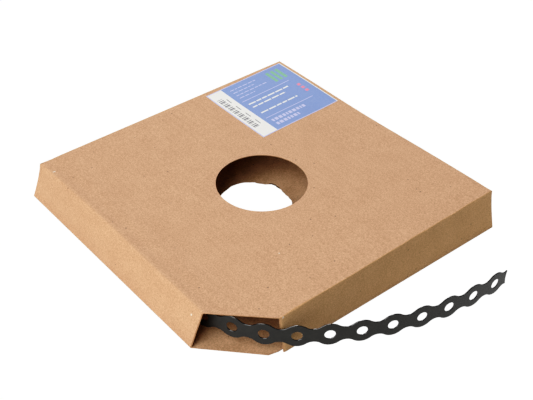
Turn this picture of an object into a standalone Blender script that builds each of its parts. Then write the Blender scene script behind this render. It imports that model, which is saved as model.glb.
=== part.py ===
"""Perforated steel strap: a coil in its folded carton, with the free end drawn out of the open corner.

Metres, +Z up. The carton lies flat on its base. Everything is laid out round the coil's axis, and
the last step moves the whole part so that its origin is the middle of its footprint, on the floor.
"""

import math

import bmesh
import bpy
from mathutils import Vector

# The strap, as sold by the coil: a wavy band with one round hole in each wave
STRAP_WIDTH = 0.0192
STRAP_THICKNESS = 0.0008
NECK_WIDTH = 0.0116
HOLE_DIAMETER = 0.0076
HOLE_PITCH = 0.0218

# The coil, one turned solid with its turns cut into both ends
COIL_OUTER_RADIUS = 0.107
COIL_TURNS = 16
TURN_PITCH = 0.00085
TURN_GROOVE = 0.0005

# The free end, from where it leaves the coil to its cut end
HOLES_INSIDE = 4
HOLES_OUTSIDE = 10
END_STUB = 0.0018
END_DISH = 0.0008
MOUTH_BEND_RADIUS = 0.094
MOUTH_BEND_ANGLE = math.radians(60)
FREE_BEND_RADIUS = 0.235
RISE = 0.0096
FALL = 0.006
WALL_GAP = 0.0041
MOUTH_CLEARANCE = 0.0005
SEAT_DEPTH = 0.0005
TONGUE = 0.003

# The carton, one folded blank of thin brown board
CARTON_HEIGHT = 0.0346
BOARD = 0.0006
ROOM = {"front": 0.0102, "right": 0.0107, "rear": 0.0183, "left": 0.0202}
SPLAY = {"front": (0.0063, 0.0063), "right": (0.0003, 0.0046), "rear": (0.0029, 0.003), "left": (0.006, 0.009)}
FOLD_RADIUS = 0.0024
MOUTH_LEG = 0.0359
MOUTH_SETBACK = 0.0026
TOP_HOLE_RADIUS = 0.0349
BASE_HOLE_RADIUS = 0.0293
BASE_HOLE_SHIFT = (-0.0154, 0.0045)
FLAP_SLIT = 0.0005
TUCK_GAP = {"front": 0.0, "right": 0.0034, "rear": 0.0015, "left": 0.0015}

# The paper label near the rear left corner of the top panel
LABEL_SIZE = (0.078, 0.084)
LABEL_INSET = (0.0036, 0.0033)
LABEL_THICKNESS = 0.0002

# The gap kept between pieces that touch, and how finely round forms are faceted
CONTACT_GAP = 0.0003
COIL_SEGMENTS = 48
HOLE_SEGMENTS = 48
OUTLINE_STEPS = 10
SIDE_STEPS = 2
FOLD_STEPS = 4
WALL_SEGMENTS = 6

# Cutters run past the faces that they cut by this much, and points closer than this are one
OVERRUN = 0.004
SAME_POINT = 0.000001

SIDES = ("front", "right", "rear", "left")
OUTWARD = {"front": Vector((0, -1)), "right": Vector((1, 0)), "rear": Vector((0, 1)), "left": Vector((-1, 0))}


def make_material(name, colour, roughness, metallic):
    made = bpy.data.materials.new(name)
    made.use_nodes = True
    shader = made.node_tree.nodes["Principled BSDF"]
    shader.inputs["Base Color"].default_value = (*colour, 1)
    shader.inputs["Roughness"].default_value = roughness
    shader.inputs["Metallic"].default_value = metallic
    return made


def make_object(name, bm, root, surface=None, smooth_angle=None):
    """Turns a bmesh into an object under the root. Without a surface it is a hidden helper."""
    bmesh.ops.recalc_face_normals(bm, faces=bm.faces)
    mesh = bpy.data.meshes.new(name)
    bm.to_mesh(mesh)
    bm.free()
    if smooth_angle is not None:
        mesh.shade_smooth()
        mesh.set_sharp_from_angle(angle=smooth_angle)
    made = bpy.data.objects.new(name, mesh)
    made.parent = root
    bpy.context.scene.collection.objects.link(made)
    if surface is None:
        made.hide_render = True
        made.display_type = "WIRE"
    else:
        mesh.materials.append(surface)
    return made


def combine(target, other, operation):
    step = target.modifiers.new(other.name, "BOOLEAN")
    step.operation = operation
    step.object = other
    step.solver = "EXACT"


def stack_rings(bm, rings):
    """Closes a stack of rings, each with the same number of points, into one solid.

    The sides can be twisted, so they are triangles, with their diagonals all the same way.
    """
    rows = [[bm.verts.new(point) for point in ring] for ring in rings]
    count = len(rows[0])
    for lower, upper in zip(rows, rows[1:]):
        for i in range(count):
            j = (i + 1) % count
            bm.faces.new((lower[i], lower[j], upper[j]))
            bm.faces.new((lower[i], upper[j], upper[i]))
    bm.faces.new(reversed(rows[0]))
    bm.faces.new(rows[-1])


def prism(outline, low, high):
    bm = bmesh.new()
    stack_rings(bm, [[(x, y, z) for x, y in outline] for z in (low, high)])
    return bm


def crossing(line_a, line_b):
    """Where two lines meet in plan, each given by two points."""
    (p, q), (r, s) = line_a, line_b
    along, other = q - p, s - r
    share = (r - p).cross(other) / along.cross(other)
    return p + along * share


def corners_of(lines):
    """Where each line of a closed outline meets the next one."""
    return [crossing(line, after) for line, after in zip(lines, lines[1:] + lines[:1])]


def heading_vector(angle):
    return Vector((math.cos(angle), math.sin(angle)))


def left_of(direction):
    return Vector((-direction.y, direction.x))


# Plan of the carton

def panel_edges():
    """The top panel's four edges before its mouth corner is cut, each by its two ends, going round."""
    front, right, rear, left = (COIL_OUTER_RADIUS + ROOM[side] + BOARD for side in SIDES)
    corners = [Vector((-left, -front)), Vector((right, -front)), Vector((right, rear)), Vector((-left, rear))]
    return dict(zip(SIDES, zip(corners, corners[1:] + corners[:1])))


def fold_inset(z, inner):
    """How far the rounded folds over the walls have drawn in at this height."""
    radius = FOLD_RADIUS - BOARD if inner else FOLD_RADIUS
    up = z - (CARTON_HEIGHT - FOLD_RADIUS)
    if up <= 0:
        return 0
    return radius - math.sqrt(max(radius**2 - min(up, radius) ** 2, 0))


def wall_line(side, z, inner=False):
    """The wall's face at this height, as two points in plan. Walls lean out towards the floor."""
    out = OUTWARD[side]
    lean = 1 - z / CARTON_HEIGHT
    back = fold_inset(z, inner) + (BOARD if inner else 0)
    ends = panel_edges()[side]
    return [end + out * (splay * lean - back) for end, splay in zip(ends, SPLAY[side])]


def mouth_line(setback=0.0):
    """The cut across the mouth corner, an upright plane, as two points in plan."""
    corner = panel_edges()["right"][0]
    inward = Vector((-1, 1)).normalized() * setback
    return [corner + Vector((-MOUTH_LEG, 0)) + inward, corner + Vector((0, MOUTH_LEG)) + inward]


def carton_ring(z, inner=False):
    """Plan of the carton at one height. The outer face is cut across the mouth, the inner is not."""
    front, right, rear, left = (wall_line(side, z, inner) for side in SIDES)
    lines = [front, right, rear, left] if inner else [front, mouth_line(), right, rear, left]
    corners = corners_of(lines)
    ring = []
    for start, end in zip(corners, corners[1:] + corners[:1]):
        ring += [(*start.lerp(end, i / WALL_SEGMENTS), z) for i in range(WALL_SEGMENTS)]
    return ring


def fold_levels(inner=False):
    """Heights at which the folds over the walls are faceted, up to the panel's face."""
    top = CARTON_HEIGHT - (BOARD if inner else 0)
    radius = FOLD_RADIUS - (BOARD if inner else 0)
    turns = [math.pi / 2 * i / FOLD_STEPS for i in range(FOLD_STEPS + 1)]
    return [top - radius * (1 - math.sin(turn)) for turn in turns]


def carton_solid(inner=False):
    bm = bmesh.new()
    base = BOARD if inner else 0.0
    stack_rings(bm, [carton_ring(z, inner) for z in [base] + fold_levels(inner)])
    return bm


def circle(radius, centre=(0.0, 0.0), count=HOLE_SEGMENTS):
    turns = [2 * math.pi * i / count for i in range(count)]
    return [(centre[0] + radius * math.cos(a), centre[1] + radius * math.sin(a)) for a in turns]


def tuck_slit():
    """Slit round three sides of the base panel, which is hinged on the front wall and tucked in."""
    walls = [wall_line(side, 0.0, inner=True) for side in SIDES]
    edges = [[end - OUTWARD[side] * TUCK_GAP[side] for end in wall] for side, wall in zip(SIDES, walls)]
    low, high = -OVERRUN, BOARD + CONTACT_GAP
    rings = []
    for wall, edge in zip(corners_of(walls), corners_of(edges)):
        rings.append([(*wall, low), (*edge, low), (*edge, high), (*wall, high)])
    bm = bmesh.new()
    stack_rings(bm, rings)
    return bm


def corner_slit(first, second):
    """Slit down a corner of the carton, between two walls that hang from the top panel."""
    out = (OUTWARD[first] + OUTWARD[second]).normalized()
    across = left_of(out) * FLAP_SLIT / 2
    head = CARTON_HEIGHT - FOLD_RADIUS - CONTACT_GAP
    rings = []
    for z in (-OVERRUN, head):
        near = crossing(wall_line(first, z, True), wall_line(second, z, True)) - out * CONTACT_GAP
        far = crossing(wall_line(first, z), wall_line(second, z)) + out * OVERRUN
        rings.append([(p.x, p.y, z) for p in (near - across, far - across, far + across, near + across)])
    bm = bmesh.new()
    stack_rings(bm, rings)
    return bm


def trim_outline(edge):
    """Plan of the wedge at one height: outside this line, from just inside the right wall outwards."""
    inside = [end - OUTWARD["right"] * OVERRUN for end in wall_line("right", CARTON_HEIGHT, inner=True)]
    start = crossing(edge, inside)
    end = edge[1] + (edge[1] - edge[0]).normalized() * OVERRUN
    out = Vector((OVERRUN, -OVERRUN))
    return [start, start + out, end + out, end]


def mouth_trim():
    """Wedge that draws the foot of the right wall's end back from the mouth."""
    foot, head = BOARD + CONTACT_GAP, CARTON_HEIGHT - BOARD - CONTACT_GAP
    levels = ((foot, MOUTH_SETBACK), (head, 0.0))
    bm = bmesh.new()
    rings = [[(p.x, p.y, z) for p in trim_outline(mouth_line(setback))] for z, setback in levels]
    stack_rings(bm, rings)
    return bm


def build_carton(root, surface):
    carton = make_object("carton", carton_solid(), root, surface)
    cuts = {
        "carton_room": carton_solid(inner=True),
        "top_hole": prism(circle(TOP_HOLE_RADIUS), CARTON_HEIGHT / 2, CARTON_HEIGHT + OVERRUN),
        "base_hole": prism(circle(BASE_HOLE_RADIUS, BASE_HOLE_SHIFT), -OVERRUN, CARTON_HEIGHT / 2),
        "tuck_slit": tuck_slit(),
        "mouth_trim": mouth_trim(),
        "slit_right_rear": corner_slit("right", "rear"),
        "slit_rear_left": corner_slit("rear", "left"),
        "slit_left_front": corner_slit("left", "front"),
    }
    for name, cutter in cuts.items():
        combine(carton, make_object(name, cutter, root), "DIFFERENCE")
    return carton


# The strap's free end

def coil_mid_height():
    return BOARD + CONTACT_GAP + STRAP_WIDTH / 2


def wall_end():
    """Outer corner of the right wall at the mouth, at the height of the raised strap's top edge."""
    strap_top = coil_mid_height() + RISE + STRAP_WIDTH / 2
    setback = MOUTH_SETBACK * (1 - strap_top / CARTON_HEIGHT)
    return crossing(wall_line("right", strap_top), mouth_line(setback))


def route():
    """Where the strap leaves the coil, its heading there, and its runs as (length, radius).

    The mouth bend keeps WALL_GAP from the front wall and MOUTH_CLEARANCE from the right wall's
    end. The straight run before it is the common tangent of the coil and that bend.
    """
    coil_radius = COIL_OUTER_RADIUS - STRAP_THICKNESS / 2 - SEAT_DEPTH
    lowest = -(COIL_OUTER_RADIUS + ROOM["front"] - WALL_GAP - STRAP_THICKNESS / 2)
    end = wall_end()
    centre_y = lowest + MOUTH_BEND_RADIUS
    reach = MOUTH_BEND_RADIUS - STRAP_THICKNESS / 2 - MOUTH_CLEARANCE
    centre = Vector((end.x - math.sqrt(reach**2 - (end.y - centre_y) ** 2), centre_y))
    tangent = math.asin((MOUTH_BEND_RADIUS - coil_radius) / centre.length)
    heading = math.atan2(centre.y, centre.x) - tangent
    start = left_of(heading_vector(heading)) * -coil_radius
    lead = centre.dot(heading_vector(heading))
    mouth_bend = MOUTH_BEND_RADIUS * MOUTH_BEND_ANGLE
    return start, heading, [(lead, None), (mouth_bend, MOUTH_BEND_RADIUS), (None, FREE_BEND_RADIUS)]


def place_on_route(distance):
    """The point in plan and the heading at this distance along the strap."""
    point, heading, runs = route()
    for length, radius in runs:
        step = distance if length is None else min(distance, length)
        if radius is None:
            point = point + heading_vector(heading) * step
        else:
            centre = point + left_of(heading_vector(heading)) * radius
            heading += step / radius
            point = centre - left_of(heading_vector(heading)) * radius
        distance -= step
        if length is None or distance <= 0:
            break
    return point, heading


def mid_height(distance):
    """The strap rises off the level of the coil to the mouth, then falls a little to its end."""
    mouth = (HOLES_INSIDE + 1) * HOLE_PITCH
    level = coil_mid_height()
    if distance <= 0:
        return level
    if distance < mouth:
        share = distance / mouth
        return level + RISE * share**2 * (3 - 2 * share)
    return level + RISE - FALL * (distance - mouth) / ((HOLES_OUTSIDE - 1) * HOLE_PITCH)


def bend(distance, up):
    """A point of the flat strap, moved to its place on the route."""
    point, _ = place_on_route(distance)
    return (point.x, point.y, mid_height(distance) + up)


def half_width(offset):
    """Half the strap's width, this far from a hole: a round crest, then a hollow neck."""
    crest, neck, half_pitch = STRAP_WIDTH / 2, NECK_WIDTH / 2, HOLE_PITCH / 2
    hollow = (half_pitch**2 + neck**2 - crest**2) / (2 * (crest - neck))
    change = crest * half_pitch / (crest + hollow)
    offset = abs(offset)
    if offset <= change:
        return math.sqrt(crest**2 - offset**2)
    return neck + hollow - math.sqrt(hollow**2 - (half_pitch - offset) ** 2)


def cell_outline(centre):
    """Outline of one wave, anticlockwise from the middle of its right side, as (along, up)."""
    half_pitch = HOLE_PITCH / 2
    offsets = [half_pitch - HOLE_PITCH * i / OUTLINE_STEPS for i in range(OUTLINE_STEPS + 1)]
    upper = [(offset, half_width(offset)) for offset in offsets]
    lower = [(-along, -up) for along, up in upper]
    points = [(half_pitch, 0.0)] + upper + [(-half_pitch, 0.0)] + lower
    return [(centre + along, up) for along, up in points]


def add_cell(bm, centre):
    """One wave of the strap: quads between its outline and its hole."""
    outline = cell_outline(centre)
    rim = circle(HOLE_DIAMETER / 2, (centre, 0.0), len(outline))
    outer = [bm.verts.new(bend(*point)) for point in outline]
    inner = [bm.verts.new(bend(*point)) for point in rim]
    for i in range(len(outline)):
        j = (i + 1) % len(outline)
        bm.faces.new((inner[i], outer[i], outer[j], inner[j]))


def add_plain(bm, columns):
    """A stretch with no hole. Each column is (distance, half width, dish of its middle)."""
    rows = []
    for distance, half, dish in columns:
        points = [(distance, -half), (distance - dish, 0.0), (distance, half)]
        rows.append([bm.verts.new(bend(*point)) for point in points])
    for before, after in zip(rows, rows[1:]):
        for i in range(SIDE_STEPS):
            bm.faces.new((before[i], after[i], after[i + 1], before[i + 1]))


def free_end_sheet():
    """Mid surface of the free end: a tongue buried in the coil, the waves, and the cut end."""
    bm = bmesh.new()
    neck = NECK_WIDTH / 2
    first = HOLE_PITCH / 2
    add_plain(bm, [(-TONGUE, neck, 0), (first / 2, neck, 0), (first, neck, 0)])
    holes = HOLES_INSIDE + HOLES_OUTSIDE
    for i in range(1, holes + 1):
        add_cell(bm, i * HOLE_PITCH)
    last = (holes + 0.5) * HOLE_PITCH
    cut = half_width(HOLE_PITCH / 2 - END_STUB)
    add_plain(bm, [(last, neck, 0), (last + END_STUB, cut, END_DISH)])
    bmesh.ops.remove_doubles(bm, verts=bm.verts, dist=SAME_POINT)
    return bm


def coil_ring():
    """The coiled turns as one turned ring. Each turn is a crest on both ends, with a groove between."""
    low = BOARD + CONTACT_GAP
    high = low + STRAP_WIDTH
    upper = []
    for i in range(2 * COIL_TURNS + 1):
        groove = TURN_GROOVE if i % 2 == 0 else 0.0
        upper.append((COIL_OUTER_RADIUS - TURN_PITCH * i / 2, high - groove))
    lower = [(radius, low + high - z) for radius, z in reversed(upper)]
    profile = upper + lower
    bm = bmesh.new()
    rings = []
    for x, y in circle(1.0, count=COIL_SEGMENTS):
        rings.append([bm.verts.new((radius * x, radius * y, z)) for radius, z in profile])
    for ring, after in zip(rings, rings[1:] + rings[:1]):
        for i in range(len(profile)):
            j = (i + 1) % len(profile)
            bm.faces.new((ring[i], after[i], after[j], ring[j]))
    return bm


def build_strap(root, surface):
    smooth = math.radians(40)
    strap = make_object("perforated_strap", free_end_sheet(), root, surface, smooth)
    thick = strap.modifiers.new("sheet", "SOLIDIFY")
    thick.thickness = STRAP_THICKNESS
    thick.offset = 0.0
    thick.use_even_offset = True
    combine(strap, make_object("coil_ring", coil_ring(), root), "UNION")
    return strap


def build_label(root, surface):
    (left, rear), (width, depth) = LABEL_INSET, LABEL_SIZE
    corner = panel_edges()["left"][0]
    x, y = corner.x + left, corner.y - rear
    outline = [(x, y - depth), (x + width, y - depth), (x + width, y), (x, y)]
    low = CARTON_HEIGHT + CONTACT_GAP
    return make_object("label", prism(outline, low, low + LABEL_THICKNESS), root, surface)


def centre_on_footprint(root, pieces):
    """Moves the whole part so that its origin is the middle of its footprint."""
    bpy.context.view_layer.update()
    graph = bpy.context.evaluated_depsgraph_get()
    corners = []
    for piece in pieces:
        ready = piece.evaluated_get(graph)
        corners += [ready.matrix_world @ Vector(corner) for corner in ready.bound_box]
    for axis in range(2):
        values = [corner[axis] for corner in corners]
        root.location[axis] = -(min(values) + max(values)) / 2
    bpy.context.view_layer.update()


def main():
    for old in list(bpy.data.objects):
        bpy.data.objects.remove(old)
    root = bpy.data.objects.new("part_origin", None)
    bpy.context.scene.collection.objects.link(root)
    board = make_material("carton_board", (0.60, 0.36, 0.19), 0.9, 0.0)
    black_steel = make_material("black_coated_steel", (0.03, 0.03, 0.028), 0.45, 0.0)
    paper = make_material("label_paper", (0.30, 0.42, 0.70), 0.6, 0.0)
    pieces = [build_carton(root, board), build_strap(root, black_steel), build_label(root, paper)]
    centre_on_footprint(root, pieces)


main()
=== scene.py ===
"""Looks of a coil of perforated steel strap in its board carton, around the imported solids.

Sizes are in metres. Forms are laid out round the coil's axis, as in the solids, and moved to the
part's frame when a piece is made.
"""

import math

import bmesh
import bpy
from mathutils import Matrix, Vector, noise


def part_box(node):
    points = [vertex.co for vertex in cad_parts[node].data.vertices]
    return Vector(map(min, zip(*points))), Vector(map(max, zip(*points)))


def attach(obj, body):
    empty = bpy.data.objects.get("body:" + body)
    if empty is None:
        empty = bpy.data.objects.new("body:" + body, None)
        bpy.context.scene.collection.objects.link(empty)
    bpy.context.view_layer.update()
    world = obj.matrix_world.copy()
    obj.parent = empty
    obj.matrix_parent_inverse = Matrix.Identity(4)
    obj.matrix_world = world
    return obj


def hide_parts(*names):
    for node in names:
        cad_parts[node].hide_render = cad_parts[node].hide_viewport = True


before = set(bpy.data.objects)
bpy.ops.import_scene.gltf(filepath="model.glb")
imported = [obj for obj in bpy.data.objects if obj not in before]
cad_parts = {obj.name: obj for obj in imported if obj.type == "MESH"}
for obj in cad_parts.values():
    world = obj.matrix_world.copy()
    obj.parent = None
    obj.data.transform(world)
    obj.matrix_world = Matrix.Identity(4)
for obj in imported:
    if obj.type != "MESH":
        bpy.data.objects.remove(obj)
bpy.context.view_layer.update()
BODY = "root"

# The carton, as in the solids, but for the right wall's splay and the setbacks at the mouth
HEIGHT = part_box("carton")[1].z
BOARD = 0.0006
ROOM = {"front": 0.0102, "right": 0.0107, "rear": 0.0183, "left": 0.0202}
SPLAY = {
    "front": (0.0063, 0.0063),
    "right": (-0.0003, 0.0047),
    "rear": (0.0029, 0.003),
    "left": (0.006, 0.009),
}
MOUTH_LEG = 0.0359
MOUTH_SETBACK = {"front": 0.0006, "right": 0.0025}
SOLID_SETBACK = 0.0026
TOP_HOLE_RADIUS = 0.0349
BASE_HOLE_RADIUS = 0.0293
BASE_HOLE_CENTRE = Vector((-0.0154, 0.0045))
FLAP_SLIT = 0.0005
TUCK_GAP = {"right": 0.0034, "rear": 0.0015, "left": 0.0015}

# The strap, as in the solids
STRAP_WIDTH = 0.0192
STRAP_THICKNESS = 0.0008
NECK_WIDTH = 0.0116
HOLE_RADIUS = 0.0038
HOLE_PITCH = 0.0218
COIL_OUTER_RADIUS = 0.107
TURN_PITCH = 0.00085
HOLES_INSIDE = 4
HOLES_OUTSIDE = 10
END_STUB = 0.0018
END_DISH = 0.0008
MOUTH_BEND_RADIUS = 0.094
MOUTH_BEND_ANGLE = math.radians(60)
FREE_BEND_RADIUS = 0.235
RISE = 0.0096
FALL = 0.006
WALL_GAP = 0.0041
MOUTH_CLEARANCE = 0.0005
SEAT_DEPTH = 0.0005
CONTACT_GAP = 0.0003

# The label, from its solid, which also fixes where the coil's axis is
LABEL_LOW, LABEL_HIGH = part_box("label")
LABEL_INSET = (0.0036, 0.0033)
REACH_LEFT = COIL_OUTER_RADIUS + ROOM["left"] + BOARD
REACH_REAR = COIL_OUTER_RADIUS + ROOM["rear"] + BOARD
COIL_AXIS = Vector((
    LABEL_LOW.x - LABEL_INSET[0] + REACH_LEFT,
    LABEL_HIGH.y + LABEL_INSET[1] - REACH_REAR,
    0,
))

# What only the looks have: rubbed spots, as places in the part's frame and radii
WORN_SPOTS = (((-0.1295, -0.117, 0.0346), 0.0019), ((0.0544, -0.1218, 0.0263), 0.0017),
              ((0.1, -0.0818, 0.0336), 0.0018), ((0.052, -0.0444, 0.0344), 0.0011))

# The narrow lip round both holes, and the slanted cut of the base panel at the mouth
HOLE_LIP = 0.0007
BASE_LIP = Vector((-0.0009, -0.0024))
BASE_NOTCH = Vector((0.0009, 0.0047))

# Folds: their radii, and where along the front and right ones they are softened, as shares
SOFT_FOLD = 0.0026
SOFT_FOLD_AT, SOFT_FOLD_WIDTH, SOFT_FOLD_UNEVEN = 0.42, 0.33, 0.12
SOFT_FOLD_FROM = 0.06
CRISP_FOLD = 0.0012
RIGHT_FOLD = CRISP_FOLD / 2
MOUTH_FOLD, MOUTH_FOLD_AT, MOUTH_FOLD_WIDTH = 0.0008, 0.07, 0.04
BACK_FOLD = 0.0008
FOOT_FOLD = 0.0006
FOOT_WEAR = 0.0003
LEAN_CURVE = 1.2
SLIT_OPENS_OVER = 0.002

# How the board gives: depths, then where the hollows lie and how wide they are
PANEL_DROP, PANEL_UNEVEN = 0.00035, 0.0003
SLACK_FROM, SLACK_TO = 0.004, 0.03
FRONT_HOLLOW, FRONT_HOLLOW_AT, FRONT_HOLLOW_WIDTH = 0.0003, 0.0095, 0.0045
FRONT_HOLLOW_UNEVEN = 0.6
RIGHT_HOLLOW, RIGHT_HOLLOW_AT, RIGHT_HOLLOW_WIDTH = 0.00015, 0.006, 0.004
REAR_SAG, REAR_SAG_AT, REAR_SAG_WIDTH, REAR_SAG_REACH = 0.0014, -0.017, 0.06, 0.05
FOLD_ZONE_FROM, FOLD_ZONE_TO = 0.55 * HEIGHT, 0.95 * HEIGHT
FRONT_FOLD_WAVE, FRONT_FOLD_ZONE = 0.0007, 0.009
FRONT_BULGE, FRONT_BULGE_UNEVEN = 0.0009, 0.0009
FRONT_BULGE_FROM, FRONT_BULGE_TO = 0.01, 0.07
RIGHT_BOW = 0.0009
RIGHT_BOW_FROM, RIGHT_BOW_TO = 0.06, 0.12
WALL_ZONE = 0.003
CURL, CURL_LENGTH, CURL_ZONE = 0.0004, 0.0022, 0.001
CURL_FROM, CURL_TO = 0.001, 0.004
RIGHT_WAVE, RIGHT_RIPPLE, RIGHT_FOLD_ZONE = 0.0006, 0.0005, 0.006
RIGHT_WAVE_FROM = 0.03

# The torn rim of the base panel's hole, as (degrees, half span in degrees, depth), and the
# painted shadow of a torn flap on it
HOLE_TEARS = (
    (128, 13, -0.0013),
    (109, 8, 0.0008),
    (82, 11, -0.0008),
    (54, 15, 0.0011),
    (168, 22, 0.001),
)
TEAR_UNEVEN, TEAR_FLANK = 0.3, 0.6
TEAR_SHADOW_AT = 106
TEAR_SHADOW_SPAN = 10
TEAR_SHADOW_REACH = 0.0013

# How far the strap's free end droops, and over how many waves
END_DROOP, DROOP_WAVES = 0.0016, 1.6

# Steps of the meshes, and details of their making
COLUMNS = {"front": 84, "mouth": 20, "notch": 6, "right": 84, "rear": 98, "left": 98}
CROWDING = {"right": 1.6}
FOLD_STEPS = 7
WALL_STEPS = 9
PANEL_ROWS = 30
COIL_OUTLINE_STEPS = 8
FREE_OUTLINE_STEPS = 24
FREE_END_STEPS, WOUND_END_STEPS = 12, 2
EDGE_ROUND = 0.00024
COIL_TURNS = 15
WELD = 2e-6
CARTON_CREASE, STRAP_CREASE = math.radians(35), math.radians(30)

# The label's paper, and the faint lines of painted shade that the board's flutes would cast
LABEL_LIFT = 0.00004
LABEL_PAPER = 0.00014
LABEL_SKEW = ((0.00175, -0.00065), (0.00045, -0.0001))
LABEL_CELL = 2.0
LINE_PITCH = 0.006
LINE_CREST = -0.0029
LINE_DRIFT = 0.002
FLUTE_SHADE_TONE = 0.037

# Slots of the carton's materials, and of the strap's
OUTSIDE, CUT_AND_FOOT_SHADE, INSIDE_PAINTED_LIGHT, WALL_OUTSIDE_PAINTED_SHADE, TEAR_SHADOW = range(5)
STEEL, SHEARED = range(2)

SIDES = ("front", "right", "rear", "left")
OUTWARD = {
    "front": Vector((0, -1)),
    "right": Vector((1, 0)),
    "rear": Vector((0, 1)),
    "left": Vector((-1, 0)),
}


# Small helpers

def smooth(value, low, high):
    """0 below low, 1 above high, and a soft step between."""
    share = min(max((value - low) / (high - low), 0.0), 1.0)
    return share * share * (3 - 2 * share)


def bell(value, width):
    """1 at zero, and falling to nothing over about two widths."""
    return math.exp(-((value / width) ** 2))


def wobble(x, y, seed):
    """Smooth noise, about -1 to 1. Each use has a seed of its own."""
    return noise.noise(Vector((x, y, seed)))


def crossing(line_a, line_b):
    """Where two lines meet in plan, each given by two points."""
    (p, q), (r, s) = line_a, line_b
    along, other = q - p, s - r
    return p + along * ((r - p).cross(other) / along.cross(other))


def heading_vector(angle):
    return Vector((math.cos(angle), math.sin(angle)))


def left_of(direction):
    return Vector((-direction.y, direction.x))


def spread(start, end, count):
    """Points from start to end, both included, in this many steps."""
    return [start.lerp(end, i / count) for i in range(count + 1)]


def finish_surface(bm, crease):
    """Joins points that meet, turns the faces outwards and shades them smooth but for creases."""
    bmesh.ops.remove_doubles(bm, verts=bm.verts, dist=WELD)
    bmesh.ops.recalc_face_normals(bm, faces=bm.faces)
    for face in bm.faces:
        face.smooth = True
    for line in bm.edges:
        if len(line.link_faces) == 2 and line.calc_face_angle() > crease:
            line.smooth = False


def make_piece(name, bm, materials, slot, *nodes):
    """Turns a bmesh laid out round the coil's axis into a piece of the part."""
    bmesh.ops.translate(bm, verts=bm.verts, vec=COIL_AXIS)
    mesh = bpy.data.meshes.new(name)
    bm.to_mesh(mesh)
    bm.free()
    for material in materials:
        mesh.materials.append(material)
    piece = bpy.data.objects.new(name, mesh)
    bpy.context.scene.collection.objects.link(piece)
    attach(piece, BODY)
    if nodes:
        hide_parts(*nodes)
    return piece


# The materials. Scales are in cells to the metre

WORN_COLOUR = (0.92, 0.86, 0.78, 1)
RAG_SCALE = 900.0
BLOTCH_SCALE, MOTTLE_SCALE, FIBRE_SCALE = 60.0, 1000.0, (2600, 900, 2600)
MOTTLE_SHARE, FIBRE_SHARE, TONE_SHIFT = 1.9, 0.9, 0.9
LINE_DRIFT_SCALE, LINE_CLEAR_SCALE = 8.0, 20.0
SPECK_SCALE, SPECK_STRENGTH = 105.0, 0.7
STEEL_CLOUD_SCALE, STEEL_GRAIN_SCALE = 260.0, 2600.0
CLOUD_LIFT = 1.7
INK_SCALE, INK_THINNING = 700.0, 0.07


def node(tree, kind, inputs=None, **settings):
    """Adds a shader node. An input is a constant or the socket that feeds it."""
    made = tree.nodes.new("ShaderNode" + kind)
    for key, value in settings.items():
        setattr(made, key, value)
    for key, value in (inputs or {}).items():
        if isinstance(value, bpy.types.NodeSocket):
            tree.links.new(value, made.inputs[key])
        else:
            made.inputs[key].default_value = value
    return made


def math_node(tree, operation, *values):
    return node(tree, "Math", dict(enumerate(values)), operation=operation).outputs[0]


def mix(tree, factor, first, second):
    """Mixes two colours."""
    made = node(tree, "Mix", {0: factor, 6: first, 7: second}, data_type="RGBA")
    return made.outputs[2]


def ramp(tree, factor, stops):
    """A colour ramp through these (position, grey) stops."""
    made = node(tree, "ValToRGB", {0: factor})
    elements = made.color_ramp.elements
    while len(elements) < len(stops):
        elements.new(0.5)
    for element, (position, grey) in zip(elements, stops):
        element.position = position
        element.color = (grey, grey, grey, 1)
    return made.outputs[0]


def noise_value(tree, vector, scale, detail, roughness=0.5):
    inputs = {"Vector": vector, "Scale": scale, "Detail": detail, "Roughness": roughness}
    return node(tree, "TexNoise", inputs).outputs[0]


def new_material(name):
    material = bpy.data.materials.new(name)
    material.use_nodes = True
    tree = material.node_tree
    return material, tree, tree.nodes["Principled BSDF"]


def worn_spots(tree, place, colour):
    """The few spots where a fold is rubbed through to pale fibres."""
    ragged = noise_value(tree, place, RAG_SCALE, 2.0)
    for spot, radius in WORN_SPOTS:
        away = node(tree, "VectorMath", {0: place, 1: spot}, operation="DISTANCE")
        away = math_node(tree, "MULTIPLY_ADD", ragged, radius, away.outputs["Value"])
        rubbed = ramp(tree, math_node(tree, "DIVIDE", away, radius), [(0.85, 0.8), (1.3, 0.0)])
        colour = mix(tree, rubbed, colour, WORN_COLOUR)
    return colour


def flute_shade_lines(tree, place, tone):
    """Painted shade: faint parallel lines along X, where the flutes' washboard would shade the
    board, clearer here and there.
    """
    across = node(tree, "SeparateXYZ", {"Vector": place}).outputs["Y"]
    drift = noise_value(tree, place, LINE_DRIFT_SCALE, 0.0)
    across = math_node(tree, "MULTIPLY_ADD", drift, LINE_DRIFT, across)
    across = math_node(tree, "SUBTRACT", across, LINE_CREST)
    turn = math_node(tree, "MULTIPLY", across, 2 * math.pi / LINE_PITCH)
    patchy = noise_value(tree, place, LINE_CLEAR_SCALE, 1.0)
    clear = ramp(tree, patchy, [(0.3, 0.2), (0.7, 1.0)])
    wave = math_node(tree, "MULTIPLY", math_node(tree, "COSINE", turn), clear)
    return math_node(tree, "MULTIPLY_ADD", wave, FLUTE_SHADE_TONE, tone)


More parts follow.
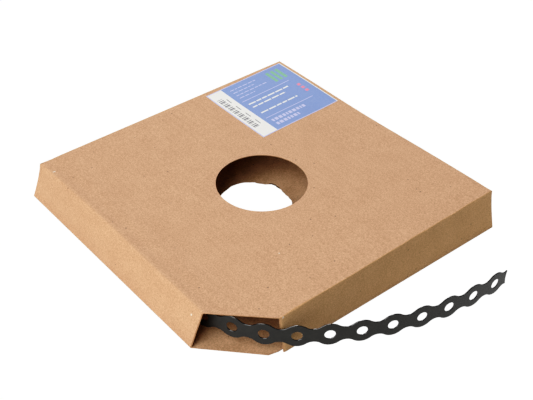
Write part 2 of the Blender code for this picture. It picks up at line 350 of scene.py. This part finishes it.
def kraft(name, dark, light, blotches=0.35, lines=False):
    """Brown kraft paper: blotches, stretched fibres, dark specks and, if asked, faint lines of
    painted flute shade.
    """
    material, tree, shader = new_material(name)
    place = node(tree, "TexCoord").outputs["Object"]
    blotch = noise_value(tree, place, BLOTCH_SCALE, 3.0, 0.6)
    mottle = noise_value(tree, place, MOTTLE_SCALE, 3.0, 0.7)
    stretched = node(tree, "Mapping", {"Vector": place, "Scale": FIBRE_SCALE}).outputs[0]
    fibre = noise_value(tree, stretched, 1.0, 2.0, 0.7)
    tone = math_node(tree, "MULTIPLY_ADD", blotch, blotches, -blotches / 2)
    tone = math_node(tree, "MULTIPLY_ADD", mottle, MOTTLE_SHARE, tone)
    tone = math_node(tree, "MULTIPLY_ADD", fibre, FIBRE_SHARE, tone)
    tone = math_node(tree, "SUBTRACT", tone, TONE_SHIFT)
    # Painted shade: the flutes' faint washboard shading, as stripes in the colour
    if lines:
        tone = flute_shade_lines(tree, place, tone)
    paper = mix(tree, ramp(tree, tone, [(0.15, 0.0), (0.85, 1.0)]), (*dark, 1), (*light, 1))
    cells = node(tree, "TexVoronoi", {"Vector": place, "Scale": SPECK_SCALE})
    chosen = ramp(tree, cells.outputs["Color"], [(0.38, 0.0), (0.42, 1.0)])
    dot = ramp(tree, cells.outputs["Distance"], [(0.04, 1.0), (0.08, 0.0)])
    speck = math_node(tree, "MULTIPLY", chosen, dot)
    speck = math_node(tree, "MULTIPLY", speck, SPECK_STRENGTH)
    colour = mix(tree, speck, paper, (dark[0] * 0.35, dark[1] * 0.3, dark[2] * 0.3, 1))
    tree.links.new(worn_spots(tree, place, colour), shader.inputs["Base Color"])
    shader.inputs["Specular IOR Level"].default_value = 0.45
    tree.links.new(math_node(tree, "MULTIPLY_ADD", mottle, 0.12, 0.6), shader.inputs["Roughness"])
    height = math_node(tree, "MULTIPLY_ADD", fibre, 0.5, mottle)
    bump = node(tree, "Bump", {"Height": height, "Strength": 0.3, "Distance": 0.0002})
    tree.links.new(bump.outputs[0], shader.inputs["Normal"])
    return material


def coated_steel(name, colour, roughness, gloss, grain):
    """Thin black coating on steel sheet, with a fine cloudy grain."""
    material, tree, shader = new_material(name)
    place = node(tree, "TexCoord").outputs["Object"]
    cloud = noise_value(tree, place, STEEL_CLOUD_SCALE, 4.0, 0.6)
    fine = noise_value(tree, place, STEEL_GRAIN_SCALE, 2.0, 0.5)
    pale = tuple(CLOUD_LIFT * part for part in colour)
    cloudy = ramp(tree, cloud, [(0.35, 0.0), (0.75, 1.0)])
    paint = mix(tree, cloudy, (*colour, 1), (*pale, 1))
    tree.links.new(paint, shader.inputs["Base Color"])
    shader.inputs["Specular IOR Level"].default_value = gloss
    rough = math_node(tree, "MULTIPLY_ADD", fine, 0.2, roughness - 0.1)
    tree.links.new(rough, shader.inputs["Roughness"])
    bump = node(tree, "Bump", {"Height": fine, "Strength": grain, "Distance": 0.00005})
    tree.links.new(bump.outputs[0], shader.inputs["Normal"])
    return material


def printed(name, ink):
    """Satin paper under one of the label's inks, which takes a little unevenly."""
    material, tree, shader = new_material(name)
    place = node(tree, "TexCoord").outputs["Object"]
    uneven = noise_value(tree, place, INK_SCALE, 3.0, 0.6)
    uneven = ramp(tree, uneven, [(0.3, 0.0), (0.7, 1.0)])
    thin = tuple(part + (1 - part) * INK_THINNING for part in ink)
    colour = mix(tree, uneven, (*ink, 1), (*thin, 1))
    tree.links.new(colour, shader.inputs["Base Color"])
    shader.inputs["Roughness"].default_value = 0.5
    return material


# The carton's plan

def panel_corners():
    """Corners of the top panel, before its mouth corner is cut, as the ends of each side."""
    reach = {side: COIL_OUTER_RADIUS + ROOM[side] + BOARD for side in SIDES}
    ring = [(-reach["left"], -reach["front"]), (reach["right"], -reach["front"])]
    ring += [(reach["right"], reach["rear"]), (-reach["left"], reach["rear"])]
    ends = [Vector(corner) for corner in ring]
    return {side: (ends[i], ends[(i + 1) % 4]) for i, side in enumerate(SIDES)}


PANEL = panel_corners()


def fold_radius(side, share):
    """Radius of the fold over a wall, this share of the way along it.

    Handling has softened the front one, and the right one at the mouth.
    """
    if side == "front":
        soft = bell(share - SOFT_FOLD_AT, SOFT_FOLD_WIDTH)
        soft += SOFT_FOLD_UNEVEN * wobble(share * 9, 0, seed=4.0)
        softened = (SOFT_FOLD - CRISP_FOLD) * max(soft, 0.0)
        return CRISP_FOLD + softened * smooth(share, 0.0, SOFT_FOLD_FROM)
    if side == "right":
        return RIGHT_FOLD + MOUTH_FOLD * bell(share - MOUTH_FOLD_AT, MOUTH_FOLD_WIDTH)
    return BACK_FOLD


def plan_line(side, z, inset=0.0):
    """A wall's line in plan at this height, so far inside its outer face.

    Walls lean out to the floor.
    """
    out = OUTWARD[side]
    lean = max(1 - z / HEIGHT, 0.0) ** LEAN_CURVE
    return [end + out * (splay * lean - inset) for end, splay in zip(PANEL[side], SPLAY[side])]


def mouth_line(setback=0.0):
    """The cut across the mouth corner, an upright plane, as two points in plan."""
    corner = PANEL["right"][0]
    inward = Vector((-1, 1)).normalized() * setback
    return [corner + Vector((-MOUTH_LEG, 0)) + inward, corner + Vector((0, MOUTH_LEG)) + inward]


def wall_section(side, share, inner):
    """Height and inset of each row of a wall's face at one place, from the panel to the foot."""
    radius = fold_radius(side, share)
    face = BOARD if inner else 0.0
    section = []
    for i in range(FOLD_STEPS + 1):
        turn = math.pi / 2 * i / FOLD_STEPS
        bend = radius - face
        z = HEIGHT - face - bend * (1 - math.cos(turn))
        section.append((z, face + bend * (1 - math.sin(turn))))
    top = HEIGHT - radius
    for i in range(1, WALL_STEPS + 1):
        section.append((top + (FOOT_FOLD - top) * i / WALL_STEPS, face))
    if side != "front":
        return section + [(0.0, face if inner else FOOT_WEAR)]
    for i in range(1, FOLD_STEPS + 1):
        turn = math.pi / 2 * i / FOLD_STEPS
        bend = FOOT_FOLD - face
        z = FOOT_FOLD - bend * math.sin(turn)
        section.append((z, face + bend * (1 - math.cos(turn))))
    return section


def wall_ends(side, z, inset, gap):
    """Where a wall starts and stops at this height.

    That is at the mouth, or half a gap short of its neighbour.
    """
    index = SIDES.index(side)
    before, after = SIDES[index - 1], SIDES[(index + 1) % 4]
    line = plan_line(side, z, inset)
    mouth = mouth_line(MOUTH_SETBACK.get(side, 0.0) * (1 - z / HEIGHT))
    start = mouth if side == "right" else plan_line(before, z, inset)
    end = mouth if side == "front" else plan_line(after, z, inset)
    first, last = crossing(line, start), crossing(line, end)
    along = (last - first).normalized() * gap / 2
    if side != "right":
        first = first + along
    if side != "front":
        last = last - along
    return first, last


def wall_rows(side, inner):
    """Rows of points over one face of a wall, from the panel's face down to the foot."""
    hinge_start = base_corners()[-1].x
    columns = []
    for k in range(COLUMNS[side] + 1):
        share = (k / COLUMNS[side]) ** CROWDING.get(side, 1)
        top = HEIGHT - fold_radius(side, share)
        column = []
        for i, (z, inset) in enumerate(wall_section(side, share, inner)):
            slit = FLAP_SLIT * smooth(top - z, 0.0, SLIT_OPENS_OVER)
            first, last = wall_ends(side, z, inset, slit)
            if side == "front" and i > FOLD_STEPS + WALL_STEPS:
                first.x = hinge_start
            column.append(Vector((*first.lerp(last, share), z)))
        columns.append(column)
    return [list(row) for row in zip(*columns)]


def base_corners():
    """Corners of the base panel from the mouth on, drawn in from the walls it is tucked between.

    At the mouth it was cut a little aslant.
    """
    right, rear, left = (plan_line(side, 0.0, BOARD + TUCK_GAP[side]) for side in SIDES[1:])
    hinge = plan_line("front", 0.0, FOOT_FOLD)
    mouth = crossing(mouth_line(), right)
    cut = [mouth + BASE_LIP, mouth + BASE_NOTCH]
    return cut + [crossing(right, rear), crossing(rear, left), crossing(left, hinge)]


# How the board gives: the whole carton and its label go through this

def settle(point):
    """Moves a point of the carton as the worn board has: a slack panel, soft uneven folds."""
    x, y, z = point
    front, rear = PANEL["front"][0].y, PANEL["rear"][0].y
    left, right = PANEL["left"][0].x, PANEL["right"][0].x
    from_front, from_rear, from_left, from_right = y - front, rear - y, x - left, right - x
    high = smooth(z, FOLD_ZONE_FROM, FOLD_ZONE_TO)
    bow = math.sin(math.pi * min(max(z / HEIGHT, 0), 1))

    # The top panel hangs slack, with hollows beside two folds and a sag at the rear
    slack = smooth(min(from_left, from_right, from_front, from_rear), SLACK_FROM, SLACK_TO)
    drop = (PANEL_DROP + PANEL_UNEVEN * wobble(x * 16, y * 16, seed=3.0)) * slack
    hollow = FRONT_HOLLOW * bell(from_front - FRONT_HOLLOW_AT, FRONT_HOLLOW_WIDTH)
    drop += hollow * (1 + FRONT_HOLLOW_UNEVEN * wobble(x * 30, 0, seed=5.0))
    drop += RIGHT_HOLLOW * bell(from_right - RIGHT_HOLLOW_AT, RIGHT_HOLLOW_WIDTH)
    drop += REAR_SAG * bell(x - REAR_SAG_AT, REAR_SAG_WIDTH) * bell(from_rear, REAR_SAG_REACH)

    # The front fold is wavy, and its wall bulges
    at_fold = bell(from_front, FRONT_FOLD_ZONE) * high
    shift_y = FRONT_FOLD_WAVE * wobble(x * 22, 1.3, seed=8.0) * at_fold
    bulge = FRONT_BULGE * smooth(from_left, FRONT_BULGE_FROM, FRONT_BULGE_TO)
    bulge = bulge + FRONT_BULGE_UNEVEN * wobble(x * 9, 0, seed=21.0)
    front_bow = bulge * bell(max(from_front, 0), WALL_ZONE) * bow

    # The right wall bows away from the mouth, and its end there is curled in
    clear = smooth(from_front, RIGHT_BOW_FROM, RIGHT_BOW_TO)
    bent = RIGHT_BOW * wobble(y * 10, 0, seed=34.0)
    right_bow = bent * bell(max(from_right, 0), WALL_ZONE) * bow * clear
    end = front + MOUTH_LEG + MOUTH_SETBACK["right"] * math.sqrt(2) * (1 - z / HEIGHT)
    curl = CURL * max(1 - (y - end) / CURL_LENGTH, 0.0) ** 2
    curl = curl * bell(max(from_right, 0), CURL_ZONE) * smooth(HEIGHT - z, CURL_FROM, CURL_TO)

    # The right fold is wavy, but for its end at the mouth
    at_fold = bell(max(from_right, 0), RIGHT_FOLD_ZONE) * high
    at_fold = at_fold * smooth(from_front - MOUTH_LEG, 0.0, RIGHT_WAVE_FROM)
    ripple = RIGHT_RIPPLE * wobble(y * 55, 2.7, seed=13.0)
    shift_x = (ripple + RIGHT_WAVE * wobble(y * 20, 4.1, seed=17.0)) * at_fold
    return Vector((x + shift_x + right_bow - curl, y + shift_y - front_bow, z - drop * high))


# The board, as rows of points on both of its faces, with its cut edges

def add_points(bm, points):
    return [bm.verts.new(settle(point)) for point in points]


def join_rows(bm, rows, closed=False, material=OUTSIDE):
    """Quads between rows of vertices."""
    for before, after in zip(rows, rows[1:]):
        count = len(before)
        for i in range(count if closed else count - 1):
            j = (i + 1) % count
            face = bm.faces.new((before[i], before[j], after[j], after[i]))
            face.material_index = material


def cut_edge(bm, outer, inner, closed=False):
    """The narrow face that a cut leaves between the two faces of the board."""
    join_rows(bm, [add_points(bm, row) for row in (outer, inner)], closed, material=CUT_AND_FOOT_SHADE)


def add_board(bm, outer, inner, closed=False, outside=OUTSIDE):
    """Both faces of a panel, from rows of points."""
    # Painted light: the inner face's colour is lifted and warmed for the light inside the carton
    for rows, material in ((outer, outside), (inner, INSIDE_PAINTED_LIGHT)):
        join_rows(bm, [add_points(bm, row) for row in rows], closed, material)


def add_wall(bm, side):
    """A wall with its fold over the top. The front one also folds under, to the base panel."""
    outer, inner = wall_rows(side, False), wall_rows(side, True)
    foot = FOLD_STEPS + WALL_STEPS
    # Painted shade: the walls but the front take a more saturated copy of the board, as board
    # looks in shade
    outside = OUTSIDE if side == "front" else WALL_OUTSIDE_PAINTED_SHADE
    add_board(bm, outer[:foot + 1], inner, outside=outside)
    # Painted shade: the front wall's fold under to the base takes the dark cut-edge colour
    join_rows(bm, [add_points(bm, row) for row in outer[foot:]], material=CUT_AND_FOOT_SHADE)
    if side != "front":
        cut_edge(bm, outer[-1], inner[-1])
    for column, mouth in ((0, side == "right"), (-1, side == "front")):
        top = 0 if mouth else FOLD_STEPS
        cut_edge(bm, [row[column] for row in outer[top:]], [row[column] for row in inner[top:]])
    return outer[0], outer[-1]


def add_panel(bm, ring, faces, centre, radius_at):
    """A panel between its outline and its round hole, with a narrow lip.

    Ring is its outline in plan, and faces its two heights.
    """
    hole = []
    for point in ring:
        out = (point - centre).normalized()
        hole.append(centre + out * radius_at(math.atan2(out.y, out.x)))
    plan = []
    for i in range(PANEL_ROWS):
        plan.append([edge.lerp(rim, i / PANEL_ROWS) for edge, rim in zip(ring, hole)])
    plan += [[rim + (rim - centre).normalized() * HOLE_LIP for rim in hole], hole]
    outer, inner = ([[Vector((*p, z)) for p in row] for row in plan] for z in faces)
    add_board(bm, outer, inner, closed=True)
    cut_edge(bm, outer[-1], inner[-1], closed=True)
    return outer[0], inner[0]


def in_plan(points):
    return [Vector(point[:2]) for point in points]


def torn_hole(angle):
    """Radius of the base panel's hole: flaps of liner left on its edge, and nicks beside them."""
    ragged = 1 + TEAR_UNEVEN * wobble(angle * 30, 0, seed=2.0)
    radius = BASE_HOLE_RADIUS
    for at, half_span, depth in HOLE_TEARS:
        off = (angle - math.radians(at) + math.pi) % (2 * math.pi) - math.pi
        reach = math.radians(half_span)
        radius += depth * ragged * smooth(reach - abs(off), 0.0, reach * TEAR_FLANK)
    return radius


def build_carton(materials):
    bm = bmesh.new()
    tops, feet = {}, {}
    for side in SIDES:
        tops[side], feet[side] = add_wall(bm, side)
    mouth = spread(tops["front"][-1], tops["right"][0], COLUMNS["mouth"])
    ring = tops["front"][:-1] + mouth[:-1]
    for side in SIDES[1:]:
        ring += tops[side][:-1]
    faces, middle = (HEIGHT, HEIGHT - BOARD), Vector((0, 0))
    outer, inner = add_panel(bm, in_plan(ring), faces, middle, lambda angle: TOP_HOLE_RADIUS)
    span = slice(COLUMNS["front"], COLUMNS["front"] + COLUMNS["mouth"] + 1)
    cut_edge(bm, outer[span], inner[span])
    hinge = in_plan(feet["front"])
    corners = [hinge[-1]] + base_corners()
    ring = hinge[:-1]
    for start, end, side in zip(corners, corners[1:], ("mouth", "notch", "right", "rear", "left")):
        ring += spread(start, end, COLUMNS[side])[:-1]
    outer, inner = add_panel(bm, ring, (0.0, BOARD), BASE_HOLE_CENTRE, torn_hole)
    free = list(range(COLUMNS["front"], len(ring))) + [0]
    cut_edge(bm, [outer[i] for i in free], [inner[i] for i in free])
    # Painted shadow: faces by the base hole's torn rim go near black, for the shade under a flap
    for face in bm.faces:
        place = face.calc_center_median()
        away = Vector(place[:2]) - BASE_HOLE_CENTRE
        if place.z < HEIGHT / 2 and away.length < BASE_HOLE_RADIUS + TEAR_SHADOW_REACH:
            if abs(math.degrees(math.atan2(away.y, away.x)) - TEAR_SHADOW_AT) < TEAR_SHADOW_SPAN:
                face.material_index = TEAR_SHADOW
    finish_surface(bm, CARTON_CREASE)
    return make_piece("carton_board", bm, materials, "board", "carton")


# The strap

def wall_end():
    """Outer corner of the right wall at the mouth, at the height of the raised strap's top edge.

    It keeps the setback of the solids, so that the strap runs as theirs does.
    """
    strap_top = BOARD + CONTACT_GAP + STRAP_WIDTH + RISE
    setback = SOLID_SETBACK * (1 - strap_top / HEIGHT)
    return crossing(plan_line("right", strap_top), mouth_line(setback))


def route():
    """Where the strap leaves the coil, its heading there, and its runs as (length, radius)."""
    coil_radius = COIL_OUTER_RADIUS - STRAP_THICKNESS / 2 - SEAT_DEPTH
    lowest = -(COIL_OUTER_RADIUS + ROOM["front"] - WALL_GAP - STRAP_THICKNESS / 2)
    end = wall_end()
    centre_y = lowest + MOUTH_BEND_RADIUS
    reach = MOUTH_BEND_RADIUS - STRAP_THICKNESS / 2 - MOUTH_CLEARANCE
    centre = Vector((end.x - math.sqrt(reach**2 - (end.y - centre_y) ** 2), centre_y))
    tangent = math.asin((MOUTH_BEND_RADIUS - coil_radius) / centre.length)
    heading = math.atan2(centre.y, centre.x) - tangent
    start = left_of(heading_vector(heading)) * -coil_radius
    lead = centre.dot(heading_vector(heading))
    bend = MOUTH_BEND_RADIUS * MOUTH_BEND_ANGLE
    runs = [(lead, None), (bend, MOUTH_BEND_RADIUS), (None, FREE_BEND_RADIUS)]
    return start, heading, runs


ROUTE = route()


def place_on_route(distance):
    """The strap's middle in plan and its heading. Negative distances are wound up in the coil."""
    point, heading, runs = ROUTE
    if distance < 0:
        outer = point.length
        shrink = TURN_PITCH / (2 * math.pi)
        turned = (outer - math.sqrt(outer**2 + 2 * shrink * distance)) / shrink
        angle = heading - math.pi / 2 - turned
        return heading_vector(angle) * (outer - shrink * turned), angle + math.pi / 2
    for length, radius in runs:
        step = distance if length is None else min(distance, length)
        if radius is None:
            point = point + heading_vector(heading) * step
        else:
            centre = point + left_of(heading_vector(heading)) * radius
            heading += step / radius
            point = centre - left_of(heading_vector(heading)) * radius
        distance -= step
        if length is None or distance <= 0:
            break
    return point, heading


def mid_height(distance):
    """The strap rises off the level of the coil to the mouth, then falls a little to its end."""
    mouth = (HOLES_INSIDE + 1) * HOLE_PITCH
    level = BOARD + CONTACT_GAP + STRAP_WIDTH / 2
    if distance <= 0:
        return level
    if distance < mouth:
        return level + RISE * smooth(distance, 0.0, mouth)
    past = distance / HOLE_PITCH - (HOLES_INSIDE + HOLES_OUTSIDE - 1)
    droop = END_DROOP * (max(past, 0.0) / DROOP_WAVES) ** 2
    return level + RISE - FALL * (distance - mouth) / ((HOLES_OUTSIDE - 1) * HOLE_PITCH) - droop


def on_strap(distance, up, out):
    """A point of the flat strap in its place. Out is towards the outside of the bend."""
    point, heading = place_on_route(distance)
    plan = point - left_of(heading_vector(heading)) * out
    return Vector((*plan, mid_height(distance) + up))


def half_width(offset):
    """Half the strap's width, this far from a hole: a round crest, then a hollow neck."""
    crest, neck, half_pitch = STRAP_WIDTH / 2, NECK_WIDTH / 2, HOLE_PITCH / 2
    hollow = (half_pitch**2 + neck**2 - crest**2) / (2 * (crest - neck))
    change = crest * half_pitch / (crest + hollow)
    offset = abs(offset)
    if offset <= change:
        return math.sqrt(crest**2 - offset**2)
    return neck + hollow - math.sqrt(hollow**2 - (half_pitch - offset) ** 2)


def edge_sections(points, inward):
    """The four rows of a sheared edge with rounded arrises, from one face to the other."""
    half = STRAP_THICKNESS / 2
    drawn = []
    for (along, up), (a, u) in zip(points, inward):
        drawn.append((along + a * EDGE_ROUND, up + u * EDGE_ROUND))
    side = half - EDGE_ROUND
    levels = ((drawn, half), (points, side), (points, -side), (drawn, -half))
    return [[(along, up, out) for along, up in row] for row, out in levels]


def add_strap_rows(bm, rows):
    return [[bm.verts.new(on_strap(*point)) for point in row] for row in rows]


def add_cell(bm, centre, steps):
    """One wave of the strap with its hole, both faces and all edges."""
    half_pitch = HOLE_PITCH / 2
    offsets = [half_pitch - HOLE_PITCH * i / steps for i in range(steps + 1)]
    upper = [(offset, half_width(offset)) for offset in offsets]
    lower = [(-along, -up) for along, up in upper]
    outline = [(half_pitch, 0.0)] + upper + [(-half_pitch, 0.0)] + lower
    inward = [(0, 0)] + [(0, -1)] * len(upper) + [(0, 0)] + [(0, 1)] * len(lower)
    count = len(outline)
    turns = [2 * math.pi * i / count for i in range(count)]
    rim = [(HOLE_RADIUS * math.cos(a), HOLE_RADIUS * math.sin(a)) for a in turns]
    outward = [(math.cos(a), math.sin(a)) for a in turns]
    moved = [[(centre + along, up) for along, up in row] for row in (outline, rim)]
    outer = add_strap_rows(bm, edge_sections(moved[0], inward))
    inner = add_strap_rows(bm, edge_sections(moved[1], outward))
    for face_row in (0, 3):
        join_rows(bm, [inner[face_row], outer[face_row]], closed=True, material=STEEL)
    join_rows(bm, inner, closed=True, material=SHEARED)
    for start in (1, len(upper) + 2):
        picked = [row[start:start + len(upper)] for row in outer]
        join_rows(bm, picked, material=SHEARED)


def add_end(bm, neck_at, cut_at, dish, steps):
    """A plain end between a neck and a cut. Dish draws the middle of the cut in."""
    columns = []
    for share in (0.0, 0.5, 1.0):
        at = neck_at + (cut_at - neck_at) * share
        half = half_width(HOLE_PITCH / 2 - abs(at - neck_at))
        ups = [half * (1 - 2 * i / steps) for i in range(steps + 1)]
        bow = [dish * share * (1 - (up / half) ** 2) for up in ups]
        columns.append([(at - b, up) for up, b in zip(ups, bow)])
    half_sheet = STRAP_THICKNESS / 2
    faces = []
    for out in (half_sheet, -half_sheet):
        placed = [[(along, up, out) for along, up in column] for column in columns]
        faces.append(add_strap_rows(bm, placed))
    for face in faces:
        join_rows(bm, face, material=STEEL)
    for rim in (0, -1):
        join_rows(bm, [[column[rim] for column in face] for face in faces], material=SHEARED)
    join_rows(bm, [face[-1] for face in faces], material=SHEARED)


def build_strap(steel, sheared):
    bm = bmesh.new()
    free = HOLES_INSIDE + HOLES_OUTSIDE
    mean_radius = ROUTE[0].length - TURN_PITCH * COIL_TURNS / 2
    wound = int(COIL_TURNS * 2 * math.pi * mean_radius / HOLE_PITCH)
    for index in range(-wound, free + 1):
        steps = FREE_OUTLINE_STEPS if index > 0 else COIL_OUTLINE_STEPS
        add_cell(bm, index * HOLE_PITCH, steps)
    last = (free + 0.5) * HOLE_PITCH
    add_end(bm, last, last + END_STUB, END_DISH, FREE_END_STEPS)
    first = -(wound + 0.5) * HOLE_PITCH
    add_end(bm, first, first - END_STUB, 0.0, WOUND_END_STEPS)
    finish_surface(bm, STRAP_CREASE)
    return make_piece("steel_strap", bm, [steel, sheared], "black_steel", "perforated_strap")


# The label. Places on it are in millimetres, along X and Y from its corner near the front left

INKS = {
    "field": (0.225, 0.335, 0.66),
    "pale": (0.56, 0.58, 0.86),
    "paper": (0.85, 0.85, 0.83),
    "grey": (0.2, 0.2, 0.22),
    "green": (0.22, 0.5, 0.33),
    "red": (0.84, 0.25, 0.36),
}


def dashes(ink, across, thickness, start, end, longest):
    """A broken line along Y, as plain as a line of print gets from afar."""
    boxes, at, count = [], start, 0
    while at < end:
        length = longest * (0.45 + 0.55 * abs(math.sin(2.4 * count + across)))
        boxes.append((ink, across, across + thickness, at, min(at + length, end)))
        at += length + 1.1
        count += 1
    return boxes


def label_design(width, depth):
    """Generic print, as (ink, X from, X to, Y from, Y to), the later ones over the earlier.

    A field in a pale border, a white strip with ticks, rules, broken lines and two plain marks.
    """
    boxes = [("pale", 0, width, 0, depth), ("field", 0.9, width - 0.9, 0.9, depth - 0.9)]
    boxes.append(("paper", 0.9, width - 0.9, 0.9, 15.7))
    boxes.append(("paper", 0, width, depth - 0.9, depth))
    for i in range(25):
        thick = 0.5 + 0.5 * (i * 7 % 3)
        boxes.append(("grey", 12 + 2.1 * i, 12 + 2.1 * i + thick, 3.0, 8.2))
    for i in range(4):
        boxes.append(("grey", 15 + 13 * i, 22 + 13 * i, 10.6, 11.3))
    for at in (26.5, 58.0):
        boxes.append(("pale", at, at + 0.7, 19, depth - 12))
    for across, start, end in ((7, 21, 50), (11.5, 21, 44), (16, 21, 56), (20.5, 21, 38)):
        boxes += dashes("pale", across, 0.9, start, end, 5.0)
    for across, start, end in ((32.5, 21, 66), (38, 21, 58), (49, 21, 62)):
        boxes += dashes("paper", across, 1.6, start, end, 8.0)
    for across, start, end in ((62.5, 21, 58), (68.5, 21, 46)):
        boxes += dashes("pale", across, 3.6, start, end, 3.4)
    boxes += [("green", 5.5, 21.5, at, at + 3.2) for at in (62, 67.4, 72.8)]
    boxes += [("red", at, at + 3.2, 73, 76.2) for at in (36, 41.4, 46.8)]
    return boxes


def cut_points(values, longest):
    """Sorted places to cut a side at: all of these, and more where they lie far apart."""
    kept = sorted(set(round(value, 3) for value in values))
    points = []
    for before, after in zip(kept, kept[1:]):
        count = max(1, math.ceil((after - before) / longest))
        points += [before + (after - before) * i / count for i in range(count)]
    return points + kept[-1:]


def on_label(low, high, x, y):
    """A place on the label, which was stuck on a little askew and drawn out of square."""
    (near, far), (left, right) = LABEL_SKEW
    across, along = x / (high.x - low.x), y / (high.y - low.y)
    return Vector((
        low.x + x + near + (far - near) * along,
        low.y + y + left + (right - left) * across,
        HEIGHT,
    ))


def build_label(materials):
    bm = bmesh.new()
    low, high = LABEL_LOW - COIL_AXIS, LABEL_HIGH - COIL_AXIS
    boxes = label_design(1000 * (high.x - low.x), 1000 * (high.y - low.y))
    columns = cut_points([edge for box in boxes for edge in box[1:3]], LABEL_CELL)
    rows = cut_points([edge for box in boxes for edge in box[3:5]], LABEL_CELL)
    grids = []
    for lift in (LABEL_LIFT, LABEL_LIFT + LABEL_PAPER):
        grid = []
        for y in rows:
            points = [settle(on_label(low, high, x / 1000, y / 1000)) for x in columns]
            grid.append([bm.verts.new(point + Vector((0, 0, lift))) for point in points])
        grids.append(grid)
    under, over = grids
    names = list(INKS)
    for j in range(len(rows) - 1):
        for i in range(len(columns) - 1):
            x, y = (columns[i] + columns[i + 1]) / 2, (rows[j] + rows[j + 1]) / 2
            inks = [box[0] for box in boxes if box[1] < x < box[2] and box[3] < y < box[4]]
            ink = inks[-1]
            corners = (over[j][i], over[j][i + 1], over[j + 1][i + 1], over[j + 1][i])
            face = bm.faces.new(corners)
            face.material_index = names.index(ink)
    paper = names.index("paper")
    join_rows(bm, under, material=paper)
    for j in (0, -1):
        join_rows(bm, [under[j], over[j]], material=paper)
    for i in (0, -1):
        join_rows(bm, [[row[i] for row in under], [row[i] for row in over]], material=paper)
    bmesh.ops.recalc_face_normals(bm, faces=bm.faces)
    return make_piece("paper_label", bm, materials, "label_paper", "label")


# The stage: floor, lights and camera

FLOOR_SIZE, FLOOR_DROP = 24.0, 0.0002
CAMERA_PLACE = Vector((0.42879, -0.36819, 0.47918))
CAMERA_TURN = (math.radians(51.32), 0.0, math.radians(50.34))
CAMERA_LENS, CAMERA_SENSOR, CAMERA_CLIP = 65.0, 36.0, 0.01
KEY_PLACE, KEY_SIZE, KEY_POWER = Vector((0.52, -1.81, 1.32)), (1.7, 2.6), 54.3
BACK_PLACE, BACK_SIZE, BACK_POWER = Vector((-1.1, 0.83, 1.45)), (0.7, 0.7), 15.5
WORLD_COLOUR, WORLD_STRENGTH = (1, 0.95, 0.87, 1), 0.152
TONE_CURVE = ((0.02, 0.005), (0.05, 0.019), (0.1, 0.058), (0.2, 0.155), (0.35, 0.315), (0.6, 0.61))


def build_floor(name, colour, glow, seen):
    """A plain floor. One is seen, straight or in a gloss, and the other returns light."""
    bm = bmesh.new()
    bmesh.ops.create_grid(bm, x_segments=1, y_segments=1, size=FLOOR_SIZE / 2)
    mesh = bpy.data.meshes.new(name)
    bm.to_mesh(mesh)
    bm.free()
    floor = bpy.data.objects.new(name, mesh)
    floor.location.z = -FLOOR_DROP
    bpy.context.scene.collection.objects.link(floor)
    floor.visible_camera = floor.visible_glossy = seen
    for ray in ("diffuse", "transmission", "volume_scatter", "shadow"):
        setattr(floor, "visible_" + ray, not seen)
    material, tree, shader = new_material(name)
    shader.inputs["Base Color"].default_value = (*colour, 1)
    shader.inputs["Roughness"].default_value = 0.9
    shader.inputs["Specular IOR Level"].default_value = 0.0
    shader.inputs["Emission Color"].default_value = (1, 1, 1, 1)
    shader.inputs["Emission Strength"].default_value = glow
    mesh.materials.append(material)


def add_softbox(name, place, size, energy):
    """A softbox that faces the part."""
    lamp = bpy.data.lights.new(name, "AREA")
    lamp.shape = "RECTANGLE"
    lamp.size, lamp.size_y = size
    lamp.energy = energy
    softbox = bpy.data.objects.new(name, lamp)
    softbox.location = place
    softbox.rotation_euler = (-place).to_track_quat("-Z", "Y").to_euler()
    bpy.context.scene.collection.objects.link(softbox)


def build_lights():
    """A tall softbox in front, a smaller one behind on the left, and a faint warm room."""
    add_softbox("key_softbox", KEY_PLACE, KEY_SIZE, KEY_POWER)
    add_softbox("back_softbox", BACK_PLACE, BACK_SIZE, BACK_POWER)
    world = bpy.data.worlds.new("studio")
    world.use_nodes = True
    back = world.node_tree.nodes["Background"]
    back.inputs["Color"].default_value = WORLD_COLOUR
    back.inputs["Strength"].default_value = WORLD_STRENGTH
    bpy.context.scene.world = world


def set_view():
    """Plain display colours with the soft toe of a camera's tone curve."""
    view = bpy.context.scene.view_settings
    view.view_transform = "Standard"
    view.use_curve_mapping = True
    for level, shown in TONE_CURVE:
        view.curve_mapping.curves[3].points.new(level, shown)
    view.curve_mapping.update()


def build_camera():
    lens = bpy.data.cameras.new("camera")
    lens.lens = CAMERA_LENS
    lens.sensor_fit = "HORIZONTAL"
    lens.sensor_width = CAMERA_SENSOR
    lens.clip_start = CAMERA_CLIP
    camera = bpy.data.objects.new("camera", lens)
    camera.location = CAMERA_PLACE
    camera.rotation_euler = CAMERA_TURN
    bpy.context.scene.collection.objects.link(camera)
    bpy.context.scene.camera = camera


build_camera()
build_lights()
set_view()
build_floor("pale_floor", (0.15, 0.15, 0.15), 1.0, seen=True)
build_floor("light_floor", (0.6, 0.57, 0.5), 0.0, seen=False)
build_carton([
    # The board's outside, with its lines of painted flute shade
    kraft("kraft_board", (0.55, 0.33, 0.188), (0.79, 0.52, 0.338), lines=True),
    # Cut edges, darker than the faces; the front foot fold wears this colour as painted shade
    kraft("kraft_cut_edge_and_foot_shade", (0.36, 0.19, 0.09), (0.54, 0.32, 0.17)),
    # Painted light: the board's inner face, lifted brighter and warmer than the outside
    kraft("kraft_inside_painted_light", (0.57, 0.335, 0.19), (0.86, 0.57, 0.35), blotches=1.1),
    # Painted shade: a more saturated copy of the board for the side walls
    kraft("kraft_side_painted_shade", (0.575, 0.338, 0.163), (0.825, 0.534, 0.29)),
    # Painted shadow: near black, for the shade under the torn flap at the base hole
    kraft("kraft_tear_shadow", (0.06, 0.03, 0.015), (0.14, 0.075, 0.04)),
])
build_strap(coated_steel("black_coated_steel", (0.0145, 0.0138, 0.0118), 0.42, 0.5, 0.3),
            coated_steel("black_sheared_edge", (0.012, 0.012, 0.014), 0.2, 1.0, 0.05))
build_label([printed("label_" + ink, colour) for ink, colour in INKS.items()])
